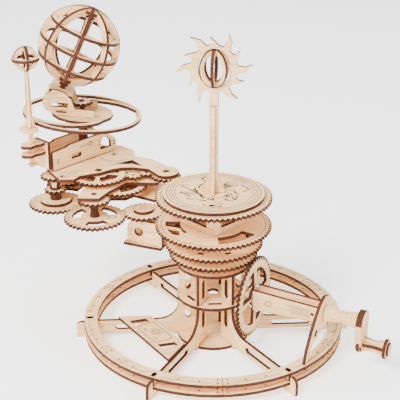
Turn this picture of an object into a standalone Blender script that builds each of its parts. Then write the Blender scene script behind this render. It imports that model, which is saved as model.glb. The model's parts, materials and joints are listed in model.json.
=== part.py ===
"""Hand-cranked plywood orrery: Sun, dial, geared arm, Earth on its slanted axis, and Moon.

Sizes are in millimetres and are turned into metres where a mesh is made. The origin is on the
ground, on the Sun's upright axis. +Z is up, and the viewer stands at -Y.
"""
import bpy
import bmesh
import math
from mathutils import Matrix, Vector
from mathutils.geometry import tessellate_polygon

MM = 0.001

# ---- sheet stock, gaps and teeth
PLY = 3.0               # thickness of the plywood
GAP = 0.3               # clearance between pieces that sit face to face
RUN = 0.4               # clearance around a turning shaft
MODULE = 1.55           # pitch diameter over teeth, the same for every gear
ADDENDUM = 0.85
DEDENDUM = 1.25
TIP_SHARE = 0.06        # half a tooth's tip, as a share of the pitch

# ---- base
RIB_COUNT = 6
RIB_TURN = 3.5          # azimuth of the first rib, in degrees
RING_OUT = 123.1
RING_WIDTH = 12.3
RING_TOP = 20.0         # top of the upper ring above the ground
RING_STEP = 9.4         # the lower ring lies this far below the upper one
TAB_R = 118.0
TAB_LENGTH = 6.0
RIB_END = 131.0
LEG_LOW = 3.0           # underside of a leg above the ground
COLUMN_IN = 15.5
COLUMN_OUT = 32.5
COLUMN_PLATE_R = 34.5
COLLAR_TOP = 78.5
MIDDLE_TOP = 44.8

# ---- the Sun axis, from the bottom up
DRIVE_TEETH = 52
DRIVE_Z = 85.5
ARM_GEAR_TEETH = 58
ARM_GEAR_Z = 97.0
FIXED_TEETH = 68        # the lower fixed gear and the dial
LOWER_FIXED_Z = 113.4
DIAL_Z = 141.5
DIAL_FACE_R = 47.0
SHAFT_R = 5.0
HUB_HALF = 21.5         # half the side of the box under the dial
HUB_TURN = 45.0         # one corner of the box points at the viewer
SUN_Z = 265.5
SUN_R = 34.0
SUN_BALL_R = 14.0
SUN_BALL_TALL = 1.25    # the ball's height over its width
SUN_TURN = -8.0

# ---- crank
CRANK_AZ = 333.5
CRANK_TEETH = 48
CRANK_PLANE = 40.5      # inner face of the upright gear, from the Sun axis
BRACKET_R = 110.0
CRANK_ARM_R = 145.5
CRANK_THROW = 22.0
KNOB_LENGTH = 24.0
KNOB_R = 9.5

# ---- geared arm
TOP_PLATE_Z = 145.5
MIDDLE_PLATE_Z = 136.0
LOWER_PLATE_Z = 122.0
LINK_AZ = 132.0
CARRIAGE_Z = 84.0
CARRIAGE_HALF = 9.0     # half the distance between the carriage's uprights
CARRIAGE_OUT = 84.0
UPPER_Z = DIAL_Z        # gears level with the dial
MOON_LEVEL = UPPER_Z
SUPPORT_LEVEL = 131.0
DAY_LEVEL = 127.0
DIAL_PINION_TEETH = 17
SMALL_IDLER_TEETH = 9
LARGE_WHEEL_TEETH = 34
MOON_WHEEL_TEETH = 20
FIRST_WHEEL_TEETH = 24
SECOND_WHEEL_TEETH = 36
SECOND_PINION_TEETH = 18
SUPPORT_TEETH = 34
OUTER_WHEEL_TEETH = 32
OUTER_TOP_TEETH = 16
OUTER_PINION_TEETH = 12
DAY_IDLER_TEETH = 20
DAY_TEETH = 10

# ---- Earth and Moon
EARTH_X = -127.2
EARTH_Y = 89.4
DISC_Z = 191.0          # underside of the Moon's guide ring, at the Earth's axis
RING_TILT = 5.0
RING_TILT_AZ = 195.0
GUIDE_R = 57.5
GUIDE_WIDTH = 3.4
DISC_R = 30.0
GLOBE_UP = 66.5         # globe's centre above the top of the disc
GLOBE_R = 39.5
GLOBE_BAND = 6.5
EARTH_TILT = 23.4
PIN_WHEEL_TEETH = 14
MOON_AZ = 226.9
MOON_REACH = 64.2
MOON_ARM_Z = 149.6
MOON_ARM_HEIGHT = 21.5
MOON_ARM_HALF = 10.5
MOON_BRACKET_Z = (167.0, 176.0)
MOON_FOOT_Z = 156.0
MOON_CARRIER_Z = 192.0
MOON_BALL_Z = 261.5
MOON_BALL_R = 11.5

# small parts
FLAMES = 12                 # flames round the Sun
STEM_HALF = 4.0             # half the width of the stem under the flames
PIN_R = 2.4                 # shafts of the small wheels
POST = (-62.0, 74.0)        # where the chassis post stands
POST_R = 3.5
MOON_TUBE = (5.2, 7.6)      # inner and outer radius
SUPPORT_TUBE = (2.9, 4.6)
DAY_SHAFT_R = 2.4
HOUSING_HALF = 15.0         # half the width of the housing under the globe
GLOBE_GEAR_DOWN = 57.0      # the globe's wheel lies this far below its centre
BEARING_DOWN = 45.5         # the bearing plate lies this far below its centre
BRACKET_START = 51.0        # distance of the bracket from the Earth's axis
ROD_HALF = 1.8              # half the side of the Moon's sliding rod
CRANK_SHAFT_R = 3.0
LINK_PIN_R = 3.2
RIM_CLEAR = 2.0             # from the arm gear's tips to the carriage that hangs past them
CARRIAGE_LIP = 4.0          # the carriage's plate reaches this far past its uprights
DAY_TOP_TEETH = 12          # the wheel that turns the globe's own
GLOBE_PARALLELS = (-18.0, 0.0, 18.0)
GLOBE_CAP_R = 9.5
BALL_BAND = 3.6             # width of the Moon ball's rings
CARRIER_R = 9.0             # round end of the plate that rides on the guide ring
HUB_WINDOW_HALF = 12.0
FIRST_CAP_R = 9.5            # plate on top of the first wheel
NAMEPLATE_WINDOWS = ((13.0, 24.0), (64.0, 75.0))  # along its outer side

PLY_COLOUR = (0.80, 0.62, 0.42, 1.0)


# ---------------------------------------------------------------- frames

def flat(x, y, z, turn=0.0):
    """A horizontal frame at a place, in degrees about the upright axis."""
    return Matrix.Translation((x * MM, y * MM, z * MM)) @ Matrix.Rotation(math.radians(turn), 4, "Z")


def upright(x, y, z, azimuth, shift=0.0):
    """A frame whose x runs along an azimuth and whose y runs up. It is centred on the plate."""
    a = math.radians(azimuth)
    along = Vector((math.cos(a), math.sin(a), 0.0))
    up = Vector((0.0, 0.0, 1.0))
    across = along.cross(up)
    origin = Vector((x, y, z)) + across * (shift - PLY / 2)
    frame = Matrix((along, up, across)).transposed().to_4x4()
    frame.translation = origin * MM
    return frame


def polar(r, azimuth, centre=(0.0, 0.0)):
    a = math.radians(azimuth)
    return centre[0] + r * math.cos(a), centre[1] + r * math.sin(a)


# ---------------------------------------------------------------- outlines

def circle(r, sides, x=0.0, y=0.0, turn=0.0):
    step = 2 * math.pi / sides
    first = math.radians(turn)
    return [(x + r * math.cos(first + i * step), y + r * math.sin(first + i * step)) for i in range(sides)]


def arc(x, y, r, start, end, steps):
    angles = [math.radians(start + (end - start) * i / steps) for i in range(steps + 1)]
    return [(x + r * math.cos(a), y + r * math.sin(a)) for a in angles]


def box(x0, y0, x1, y1):
    return [(x0, y0), (x1, y0), (x1, y1), (x0, y1)]


def slot(x0, y0, x1, y1, r, steps=2):
    """A round-ended slot from one point to another."""
    turn = math.degrees(math.atan2(y1 - y0, x1 - x0))
    return arc(x1, y1, r, turn - 90, turn + 90, steps) + arc(x0, y0, r, turn + 90, turn + 270, steps)


def sector(r0, r1, a0, a1, steps=5):
    return arc(0, 0, r1, a0, a1, steps) + arc(0, 0, r0, a1, a0, steps)


def pitch_r(teeth):
    return teeth * MODULE / 2


def tip_r(teeth):
    return pitch_r(teeth) + ADDENDUM * MODULE


def root_r(teeth):
    return pitch_r(teeth) - DEDENDUM * MODULE


def gear(teeth, phase=0.0, root_share=0.5):
    """Outline of a laser-cut gear, with the centre of a tooth at the phase angle."""
    pitch = 2 * math.pi / teeth
    points = []
    for i in range(teeth):
        middle = math.radians(phase) + i * pitch
        for r, share in ((root_r(teeth), -root_share), (tip_r(teeth), -TIP_SHARE), (tip_r(teeth), TIP_SHARE)):
            angle = middle + share * pitch
            points.append((r * math.cos(angle), r * math.sin(angle)))
        if root_share < 0.5:
            angle = middle + root_share * pitch
            points.append((root_r(teeth) * math.cos(angle), root_r(teeth) * math.sin(angle)))
    return points


# ---------------------------------------------------------------- meshes

def sheet(outline, holes=(), low=0.0, high=PLY):
    """A mesh of one flat sheet between two heights, with its holes."""
    loops = [outline] + list(holes)
    flat_loops = [[Vector((x, y, 0.0)) for x, y in loop] for loop in loops]
    corners = [point for loop in flat_loops for point in loop]
    mesh = bmesh.new()
    floor = [mesh.verts.new((p.x * MM, p.y * MM, low * MM)) for p in corners]
    roof = [mesh.verts.new((p.x * MM, p.y * MM, high * MM)) for p in corners]
    for a, b, c in tessellate_polygon(flat_loops):
        mesh.faces.new((floor[a], floor[b], floor[c]))
        mesh.faces.new((roof[a], roof[b], roof[c]))
    first = 0
    for loop in loops:
        for i in range(len(loop)):
            a = first + i
            b = first + (i + 1) % len(loop)
            mesh.faces.new((floor[a], floor[b], roof[b], roof[a]))
        first += len(loop)
    bmesh.ops.recalc_face_normals(mesh, faces=mesh.faces)
    return mesh


def turned(profile, sides):
    """A solid of revolution about z, from (radius, height) pairs, starting and ending on the axis."""
    mesh = bmesh.new()
    rows = []
    for r, z in profile:
        if r == 0:
            rows.append([mesh.verts.new((0, 0, z * MM))])
        else:
            rows.append([mesh.verts.new((x * MM, y * MM, z * MM)) for x, y in circle(r, sides)])
    for low, high in zip(rows, rows[1:]):
        for i in range(sides):
            j = (i + 1) % sides
            if len(low) == 1:
                mesh.faces.new((low[0], high[j], high[i]))
            elif len(high) == 1:
                mesh.faces.new((low[i], low[j], high[0]))
            else:
                mesh.faces.new((low[i], low[j], high[j], high[i]))
    bmesh.ops.recalc_face_normals(mesh, faces=mesh.faces)
    return mesh


def tube(inner, outer, low, high, sides=16):
    return sheet(circle(outer, sides), [circle(inner, sides)], low, high)


def material(name):
    made = bpy.data.materials.new(name)
    made.use_nodes = True
    shader = made.node_tree.nodes["Principled BSDF"]
    shader.inputs["Base Color"].default_value = PLY_COLOUR
    shader.inputs["Roughness"].default_value = 0.7
    shader.inputs["Metallic"].default_value = 0.0
    return made


def piece(name, mesh, frame):
    """One named object with its own material, placed by its frame."""
    data = bpy.data.meshes.new(name)
    mesh.to_mesh(data)
    mesh.free()
    data.materials.append(material(name + "_ply"))
    made = bpy.data.objects.new(name, data)
    bpy.context.scene.collection.objects.link(made)
    made.matrix_world = frame
    return made


def joined(name, meshes, frame):
    """One object from several overlapping meshes, joined by Boolean unions."""
    made = piece(name, meshes[0], frame)
    for i, mesh in enumerate(meshes[1:]):
        other = piece(f"{name}_join_{i}", mesh, frame)
        other.hide_render = True
        other.display_type = "WIRE"
        union = made.modifiers.new("join", "BOOLEAN")
        union.operation = "UNION"
        union.object = other
    return made


def cut(target, mesh):
    cutter = piece(f"{target.name}_cut_{len(target.modifiers)}", mesh, target.matrix_world)
    cutter.hide_render = True
    cutter.display_type = "WIRE"
    difference = target.modifiers.new("cut", "BOOLEAN")
    difference.operation = "DIFFERENCE"
    difference.object = cutter


def plate(name, frame, outline, holes=()):
    return piece(name, sheet(outline, holes), frame)


# ---------------------------------------------------------------- gear places

def beside(a, b, reach_a, reach_b, side):
    """The point at given distances from two points, on one side of the line between them."""
    dx = b[0] - a[0]
    dy = b[1] - a[1]
    d = math.hypot(dx, dy)
    along = (reach_a ** 2 - reach_b ** 2 + d ** 2) / (2 * d)
    off = side * math.sqrt(max(reach_a ** 2 - along ** 2, 0.0))
    return a[0] + (along * dx - off * dy) / d, a[1] + (along * dy + off * dx) / d


def mesh_distance(teeth_a, teeth_b):
    return pitch_r(teeth_a) + pitch_r(teeth_b) + GAP / 2


def meshed(centre_a, teeth_a, phase_a, centre_b, teeth_b):
    """The phase of the second gear that puts its teeth in the first one's gaps."""
    towards = math.degrees(math.atan2(centre_b[1] - centre_a[1], centre_b[0] - centre_a[0]))
    share = ((towards - phase_a) * teeth_a / 360) % 1.0
    return towards + 180 - (0.5 - share) * 360 / teeth_b


SUN = (0.0, 0.0)
EARTH = (EARTH_X, EARTH_Y)
DIAL_PINION = polar(mesh_distance(FIXED_TEETH, DIAL_PINION_TEETH), 132.9)
FIRST_WHEEL = polar(mesh_distance(FIXED_TEETH, FIRST_WHEEL_TEETH), 157.8)
SECOND_WHEEL = polar(mesh_distance(FIRST_WHEEL_TEETH, SECOND_WHEEL_TEETH), 194.0, FIRST_WHEEL)
OUTER_WHEEL = polar(mesh_distance(SECOND_WHEEL_TEETH, OUTER_WHEEL_TEETH), 140.0, SECOND_WHEEL)
SUPPORT_IDLER = beside(
    SECOND_WHEEL, EARTH,
    mesh_distance(SECOND_PINION_TEETH, LARGE_WHEEL_TEETH),
    mesh_distance(LARGE_WHEEL_TEETH, SUPPORT_TEETH), -1)
MOON_IDLER = polar(mesh_distance(LARGE_WHEEL_TEETH, MOON_WHEEL_TEETH), 294.5, EARTH)
DAY_IDLER = beside(
    OUTER_WHEEL, EARTH,
    mesh_distance(OUTER_PINION_TEETH, DAY_IDLER_TEETH),
    mesh_distance(DAY_IDLER_TEETH, DAY_TEETH), 1)
FIRST_IDLER = polar(mesh_distance(DIAL_PINION_TEETH, SMALL_IDLER_TEETH), 160.0, DIAL_PINION)
SECOND_IDLER = beside(
    FIRST_IDLER, MOON_IDLER,
    mesh_distance(SMALL_IDLER_TEETH, SMALL_IDLER_TEETH),
    mesh_distance(SMALL_IDLER_TEETH, LARGE_WHEEL_TEETH), 1)

PINION_PHASE = meshed(SUN, FIXED_TEETH, 0.0, DIAL_PINION, DIAL_PINION_TEETH)
FIRST_IDLER_PHASE = meshed(DIAL_PINION, DIAL_PINION_TEETH, PINION_PHASE, FIRST_IDLER, SMALL_IDLER_TEETH)
SECOND_IDLER_PHASE = meshed(
    FIRST_IDLER, SMALL_IDLER_TEETH, FIRST_IDLER_PHASE, SECOND_IDLER, SMALL_IDLER_TEETH)
MOON_IDLER_PHASE = meshed(SECOND_IDLER, SMALL_IDLER_TEETH, SECOND_IDLER_PHASE, MOON_IDLER, LARGE_WHEEL_TEETH)
MOON_WHEEL_PHASE = meshed(MOON_IDLER, LARGE_WHEEL_TEETH, MOON_IDLER_PHASE, EARTH, MOON_WHEEL_TEETH)
FIRST_WHEEL_PHASE = meshed(SUN, FIXED_TEETH, 0.0, FIRST_WHEEL, FIRST_WHEEL_TEETH)
SECOND_WHEEL_PHASE = meshed(FIRST_WHEEL, FIRST_WHEEL_TEETH, FIRST_WHEEL_PHASE, SECOND_WHEEL,
                            SECOND_WHEEL_TEETH)
OUTER_WHEEL_PHASE = meshed(SECOND_WHEEL, SECOND_WHEEL_TEETH, SECOND_WHEEL_PHASE, OUTER_WHEEL,
                           OUTER_WHEEL_TEETH)
SUPPORT_IDLER_PHASE = meshed(SECOND_WHEEL, SECOND_PINION_TEETH, 0.0, SUPPORT_IDLER, LARGE_WHEEL_TEETH)
SUPPORT_PHASE = meshed(SUPPORT_IDLER, LARGE_WHEEL_TEETH, SUPPORT_IDLER_PHASE, EARTH, SUPPORT_TEETH)
DAY_IDLER_PHASE = meshed(OUTER_WHEEL, OUTER_PINION_TEETH, 0.0, DAY_IDLER, DAY_IDLER_TEETH)
DAY_PHASE = meshed(DAY_IDLER, DAY_IDLER_TEETH, DAY_IDLER_PHASE, EARTH, DAY_TEETH)


# ---------------------------------------------------------------- base

LOWER_RING_Z = RING_TOP - PLY - RING_STEP


def rib_outline():
    """Radius and height: foot, tab through both rings, leg, curve and column."""
    under = LOWER_RING_Z - GAP
    leg_top = RING_TOP - PLY - GAP
    inner = RING_OUT - RING_WIDTH - GAP
    tab0 = TAB_R - TAB_LENGTH / 2
    tab1 = TAB_R + TAB_LENGTH / 2
    bend = 20.0
    points = [(COLUMN_IN, 0), (COLUMN_PLATE_R + 2, 0), (COLUMN_PLATE_R + 5, LEG_LOW)]
    points += [(inner - 6, LEG_LOW), (inner - 3, 0), (RIB_END, 0)]
    points += arc(RIB_END - 5, 11, 5, 0, 90, 3)
    points += [(RING_OUT + GAP, 16), (RING_OUT + GAP, under), (tab1, under), (tab1, RING_TOP)]
    points += [(tab0, RING_TOP), (tab0, under), (inner, under), (inner, leg_top)]
    points += arc(COLUMN_OUT + bend, leg_top + bend, bend, 270, 180, 6)
    top = COLLAR_TOP - PLY - GAP
    points += [(COLUMN_OUT, top), (COLUMN_OUT - 5, top), (COLUMN_OUT - 5, COLLAR_TOP)]
    points += [(COLUMN_IN + 5, COLLAR_TOP), (COLUMN_IN + 5, top), (COLUMN_IN, top)]
    return points


def ribs():
    middle = (COLUMN_IN + COLUMN_OUT) / 2
    holes = [
        slot(58, 9.4, 92, 9.4, 2.6),
        slot(middle, 51, middle, 66, 2.8),
        slot(middle, 20, middle, 34, 2.8),
    ]
    for i in range(RIB_COUNT):
        frame = upright(0, 0, 0, RIB_TURN + i * 360 / RIB_COUNT)
        plate(f"base_rib_{i + 1}", frame, rib_outline(), holes)


def turned_box(x0, y0, x1, y1, degrees):
    a = math.radians(degrees)
    c, s = math.cos(a), math.sin(a)
    return [(x * c - y * s, x * s + y * c) for x, y in box(x0, y0, x1, y1)]


def rib_slots(r0, r1):
    half = PLY / 2 + GAP
    turns = [RIB_TURN + i * 360 / RIB_COUNT for i in range(RIB_COUNT)]
    return [turned_box(r0, -half, r1, half, turn) for turn in turns]


def rings():
    inner = RING_OUT - RING_WIDTH
    slots = rib_slots(TAB_R - TAB_LENGTH / 2 - GAP, TAB_R + TAB_LENGTH / 2 + GAP)
    for name, z in (("base_ring_lower", LOWER_RING_Z), ("base_ring_upper", RING_TOP - PLY)):
        plate(name, flat(0, 0, z), circle(RING_OUT, 60), [circle(inner, 60)] + slots)


def notched_disc():
    """The column's lowest plate: a disc that each leg leaves through an open notch."""
    half = PLY / 2 + GAP
    points = []
    for i in range(RIB_COUNT):
        turn = RIB_TURN + i * 360 / RIB_COUNT
        edge = math.degrees(math.asin(half / COLUMN_PLATE_R))
        low = COLUMN_IN - GAP
        a = math.radians(turn)
        c, s = math.cos(a), math.sin(a)
        out = math.sqrt(COLUMN_PLATE_R ** 2 - half ** 2)
        points += [(x * c - y * s, x * s + y * c) for x, y in ((out, -half), (low, -half), (low, half))]
        points += arc(0, 0, COLUMN_PLATE_R, turn + edge, turn + 360 / RIB_COUNT - edge, 5)[:-1]
    return points


def column():
    bore = circle(SHAFT_R + RUN, 16)
    between = [RIB_TURN + (i + 0.5) * 360 / RIB_COUNT for i in range(RIB_COUNT)]
    windows = [turned_box(COLUMN_IN + 8, -6, COLUMN_IN + 11, 6, turn) for turn in between]
    plate("column_plate_bottom", flat(0, 0, 0), notched_disc())
    through = rib_slots(COLUMN_IN - GAP, COLUMN_OUT + GAP)
    disc = circle(COLUMN_PLATE_R, 30)
    plate("column_plate_middle", flat(0, 0, MIDDLE_TOP - PLY), disc, [bore] + through + windows)
    tabs = rib_slots(COLUMN_IN + 5 - GAP, COLUMN_OUT - 5 + GAP)
    plate("column_collar", flat(0, 0, COLLAR_TOP - PLY), disc, [circle(SHAFT_R, 16, turn=360 / 32)] + tabs)


def nameplate():
    """The plate that lies on two legs, level with the upper ring."""
    first = RIB_TURN + 3 * 360 / RIB_COUNT
    last = first + 360 / RIB_COUNT
    outline = [polar(91, first), polar(60, first), polar(60, last), polar(91, last)]
    outer = Vector(outline[3]) - Vector(outline[0])
    along = outer.normalized()
    across = Vector((-along.y, along.x))
    windows = []
    for start, end in NAMEPLATE_WINDOWS:
        corners = [(start, 5), (start + 5, 20), (end, 20), (end, 5)]
        windows.append([tuple(Vector(outline[0]) + along * x + across * y) for x, y in corners])
    plate("nameplate", flat(0, 0, RING_TOP - PLY), outline, windows)


# ---------------------------------------------------------------- fixed stack on the Sun axis

def fixed_stack():
    top = DIAL_Z + PLY
    shaft = [(0, COLLAR_TOP - PLY - 8), (SHAFT_R - RUN, COLLAR_TOP - PLY - 8)]
    shaft += [(SHAFT_R - RUN, LOWER_FIXED_Z - GAP), (0, LOWER_FIXED_Z - GAP)]
    piece("centre_shaft", turned(shaft, 16), flat(0, 0, 0))
    cuts = [sector(31, 44.5, 276, 327), sector(31, 44.5, 175, 219), sector(31, 44.5, 60, 110)]
    plate("lower_fixed_gear", flat(0, 0, LOWER_FIXED_Z), gear(FIXED_TEETH), cuts)
    hub_low = LOWER_FIXED_Z + PLY + GAP
    hub_high = DIAL_Z - GAP
    wall = HUB_HALF - PLY
    walls = sheet(box(-HUB_HALF, -HUB_HALF, HUB_HALF, HUB_HALF), [box(-wall, -wall, wall, wall)],
                  hub_low, hub_high)
    hub = piece("dial_hub", walls, flat(0, 0, 0, HUB_TURN))
    half = HUB_WINDOW_HALF
    for side in (box(-half, -30, half, 30), box(-30, -half, 30, half)):
        cut(hub, sheet(side, [], hub_low + 6, hub_high - 5))
    plate("dial_gear", flat(0, 0, DIAL_Z), gear(FIXED_TEETH))
    plate("dial_face", flat(0, 0, top + GAP), circle(DIAL_FACE_R, 40))


# ---------------------------------------------------------------- Sun


def flames():
    """Flames round the Sun, long and short in turn, with a stem where the lowest one would be."""
    step = 360 / FLAMES
    valley = SUN_R * 0.62
    points = []
    for i in range(FLAMES):
        middle = 270 + i * step
        if i == 0:
            points += [(-STEM_HALF, -valley), (-STEM_HALF, -SUN_R), (STEM_HALF, -SUN_R), (STEM_HALF, -valley)]
            continue
        reach = SUN_R if i % 2 == 1 else SUN_R * 0.84
        points += [polar(valley, middle - 11), polar(reach * 0.82, middle - 4), polar(reach, middle + 8)]
        points += [polar(reach * 0.80, middle + 5), polar(valley, middle + 8)]
    return points


def sun():
    pole_low = DIAL_Z + 2 * PLY + 2 * GAP
    height = SUN_Z - SUN_R - GAP - pole_low
    half = STEM_HALF
    right = [(11, 0), (10, 4), (half + 1, 14), (half, 20), (half, height)]
    wide = right + [(-x, y) for x, y in reversed(right)]
    narrow = [(x, y * 0.995 + 0.3) for x, y in wide]
    joined("sun_pole", [sheet(wide, [], -PLY / 2, PLY / 2), crossing(narrow)], pole_frame(pole_low))
    opening = [(x, y * SUN_BALL_TALL) for x, y in circle(SUN_BALL_R + GAP, 24)]
    plate("sun_flames", upright(0, 0, SUN_Z, SUN_TURN), flames(), [opening])
    ribs = [standing_ring(SUN_BALL_R - i * 0.1, SUN_BALL_R - 4, 12, 90 + 60 * i,
                          SUN_BALL_TALL) for i in range(3)]
    level = SUN_BALL_R * SUN_BALL_TALL - PLY
    caps = [sheet(circle(8, 12, turn=11), [], z, z + PLY) for z in (-level, level - PLY)]
    joined("sun_ball", ribs + caps, flat(0, 0, SUN_Z, SUN_TURN))


def pole_frame(z):
    return upright(0, 0, z, SUN_TURN) @ Matrix.Translation((0, 0, PLY / 2 * MM))


def crossing(outline):
    """A sheet that stands at a right angle to the frame's own plane, on the same upright line."""
    mesh = sheet(outline, [], -PLY / 2, PLY / 2)
    bmesh.ops.transform(mesh, matrix=Matrix.Rotation(math.pi / 2, 4, "Y"), verts=mesh.verts)
    return mesh


def standing_ring(outer, inner, sides, azimuth, tall=1.0):
    """An upright flat ring about the frame's origin, with one side of its outline level at the top."""
    loops = [[(x, y * tall) for x, y in circle(r, sides, turn=180 / sides)] for r in (outer, inner)]
    mesh = sheet(loops[0], [loops[1]], -PLY / 2, PLY / 2)
    stand = Matrix.Rotation(math.radians(azimuth), 4, "Z") @ Matrix.Rotation(math.pi / 2, 4, "X")
    bmesh.ops.transform(mesh, matrix=stand, verts=mesh.verts)
    return mesh


# ---------------------------------------------------------------- crank

CRANK_Z = DRIVE_Z - GAP - root_r(CRANK_TEETH)


def crank_frame(r, turn=0.0):
    """A frame whose z runs out along the crank's axis. Its y is up."""
    x, y = polar(r, CRANK_AZ)
    a = math.radians(CRANK_AZ)
    out = Vector((math.cos(a), math.sin(a), 0.0))
    up = Vector((0.0, 0.0, 1.0))
    frame = Matrix((up.cross(out), up, out)).transposed().to_4x4()
    frame.translation = Vector((x, y, CRANK_Z)) * MM
    return frame @ Matrix.Rotation(math.radians(turn), 4, "Z")


def crank_gear_outline():
    """A tooth stands straight up where the drive gear has a gap."""
    share = ((CRANK_AZ - 0.0) * DRIVE_TEETH / 360) % 1.0
    pitch = 360 / CRANK_TEETH
    return gear(CRANK_TEETH, 90 + (share - 0.5) * pitch, 0.25)


def crank():
    spokes = [sector(9, 28, a, a + 76) for a in (7, 97, 187, 277)]
    bore = circle(CRANK_SHAFT_R + GAP, 12)
    piece("crank_gear", sheet(crank_gear_outline(), [bore] + spokes), crank_frame(CRANK_PLANE))
    inner_end = -6.0
    outer = CRANK_ARM_R - CRANK_PLANE
    neck0 = BRACKET_R + PLY + GAP - CRANK_PLANE
    profile = [(0, inner_end), (CRANK_SHAFT_R, inner_end), (CRANK_SHAFT_R, neck0), (8.0, neck0)]
    profile += [(5.6, (neck0 + outer) / 2), (7.5, outer - GAP), (0, outer - GAP)]
    piece("crank_shaft", turned(profile, 12), crank_frame(CRANK_PLANE))
    arm = arc(0, 0, 11, 0, 180, 8) + arc(0, -CRANK_THROW, 7.5, 180, 360, 6)
    piece("crank_arm", sheet(arm, [circle(3.2, 8, 0, -CRANK_THROW)], 0, 2 * PLY), crank_frame(CRANK_ARM_R))


def knob():
    start = 2 * PLY + GAP
    end = start + KNOB_LENGTH
    profile = [(0, 1), (2.6, 1), (2.6, start), (KNOB_R, start), (KNOB_R, start + 3), (6.5, start + 9)]
    profile += [(7.5, end - 9), (KNOB_R + 1, end - 6), (KNOB_R + 1, end - 3), (6.5, end - 3), (6.5, end),
                (0, end)]
    frame = crank_frame(CRANK_ARM_R) @ Matrix.Translation((0, -CRANK_THROW * MM, 0))
    piece("crank_knob", turned(profile, 12), frame)


def crank_supports():
    foot_z = RING_TOP + GAP - CRANK_Z
    high = 17.0
    outer = [(46, foot_z), (41, foot_z + 12), (30, foot_z + 26), (18, foot_z + 37), (11, high - 4)]
    inner = [(38, foot_z), (33, foot_z + 9), (22, foot_z + 14), (10, foot_z + 16)]
    outline = outer + [(0, high)] + [(-x, y) for x, y in reversed(outer)]
    outline += [(-x, y) for x, y in inner] + list(reversed(inner))
    bore = circle(CRANK_SHAFT_R + RUN, 12)
    diamond = [(26, foot_z + 18), (22, foot_z + 24), (18, foot_z + 20), (22, foot_z + 16)]
    other = [(-x, y) for x, y in reversed(diamond)]
    piece("crank_bracket", sheet(outline, [bore, diamond, other]), crank_frame(BRACKET_R))
    low = CRANK_PLANE + PLY + 1.2
    length = BRACKET_R - GAP - low
    side = [(0, -10), (length, -7.5), (length, 7.5), (0, 10)]
    for name, shift in (("crank_housing_front", -6.5), ("crank_housing_back", 6.5)):
        x, y = polar(low, CRANK_AZ)
        plate(name, upright(x, y, CRANK_Z, CRANK_AZ, -shift), side, [circle(1.6, 6, length - 6, 0)])


# ---------------------------------------------------------------- arm

def arm_core():
    bore = circle(SHAFT_R + RUN, 16)
    low = DRIVE_Z + PLY + GAP
    high = ARM_GEAR_Z - GAP
    plate("drive_gear", flat(0, 0, DRIVE_Z), gear(DRIVE_TEETH), [bore])
    piece("gear_spacer", sheet(box(-12, -12, 12, 12), [bore], low, high), flat(0, 0, 0))
    holes = [turned_box(31, -2.8, 34, 2.8, a) for a in (249, 294, 10, 70)]
    plate("arm_gear", flat(0, 0, ARM_GEAR_Z), gear(ARM_GEAR_TEETH), [bore] + holes)


def link_outline():
    """The link that carries the chassis: over the arm gear, under the fixed gear, up to the lower plate."""
    on_gear = ARM_GEAR_Z + PLY + GAP
    under = LOWER_PLATE_Z - GAP
    clear = tip_r(FIXED_TEETH) + 2.5
    below_fixed = LOWER_FIXED_Z - 2
    points = [(34, on_gear), (62, on_gear), (76, 106), (clear + 32, under), (clear, under), (clear,
                                                                                             below_fixed)]
    return points + [(34, below_fixed)]


def carriage_outline():
    """Side view of a carriage upright: over the arm gear, then down past its rim to a rounded foot."""
    on_gear = ARM_GEAR_Z + PLY + GAP
    floor = CARRIAGE_Z + PLY + GAP
    top = LOWER_FIXED_Z - 3
    rim = tip_r(ARM_GEAR_TEETH) + RIM_CLEAR
    points = [(24, on_gear), (rim, on_gear), (rim, floor), (CARRIAGE_OUT, floor)]
    points += arc(CARRIAGE_OUT - 9, top - 9, 9, 0, 90, 4)
    return points + [(24, top)]


def arm_links():
    plate("arm_link", upright(0, 0, 0, LINK_AZ), link_outline(), [circle(LINK_PIN_R, 8, 62, 110),
                                                                  circle(LINK_PIN_R, 8, 76, 114)])
    azimuth = math.degrees(math.atan2(FIRST_WHEEL[1], FIRST_WHEEL[0]))
    middle = CARRIAGE_OUT - 12
    windows = [circle(4.6, 10, middle, 99), box(30, 103, 42, 107)]
    for i, shift in enumerate((CARRIAGE_HALF, -CARRIAGE_HALF)):
        plate(f"carriage_upright_{i + 1}", upright(0, 0, 0, azimuth, shift), carriage_outline(), windows)
    rim = tip_r(ARM_GEAR_TEETH) + RIM_CLEAR
    half = CARRIAGE_HALF + CARRIAGE_LIP
    wheel_r = math.hypot(*FIRST_WHEEL)
    bore = circle(PIN_R + RUN, 10, wheel_r, 0)
    plate("carriage_plate", flat(0, 0, CARRIAGE_Z, azimuth), box(rim, -half, CARRIAGE_OUT + 3, half), [bore])


def pin_holes(centres, r):
    return [circle(r + RUN, 12, x, y) for x, y in centres]


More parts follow.
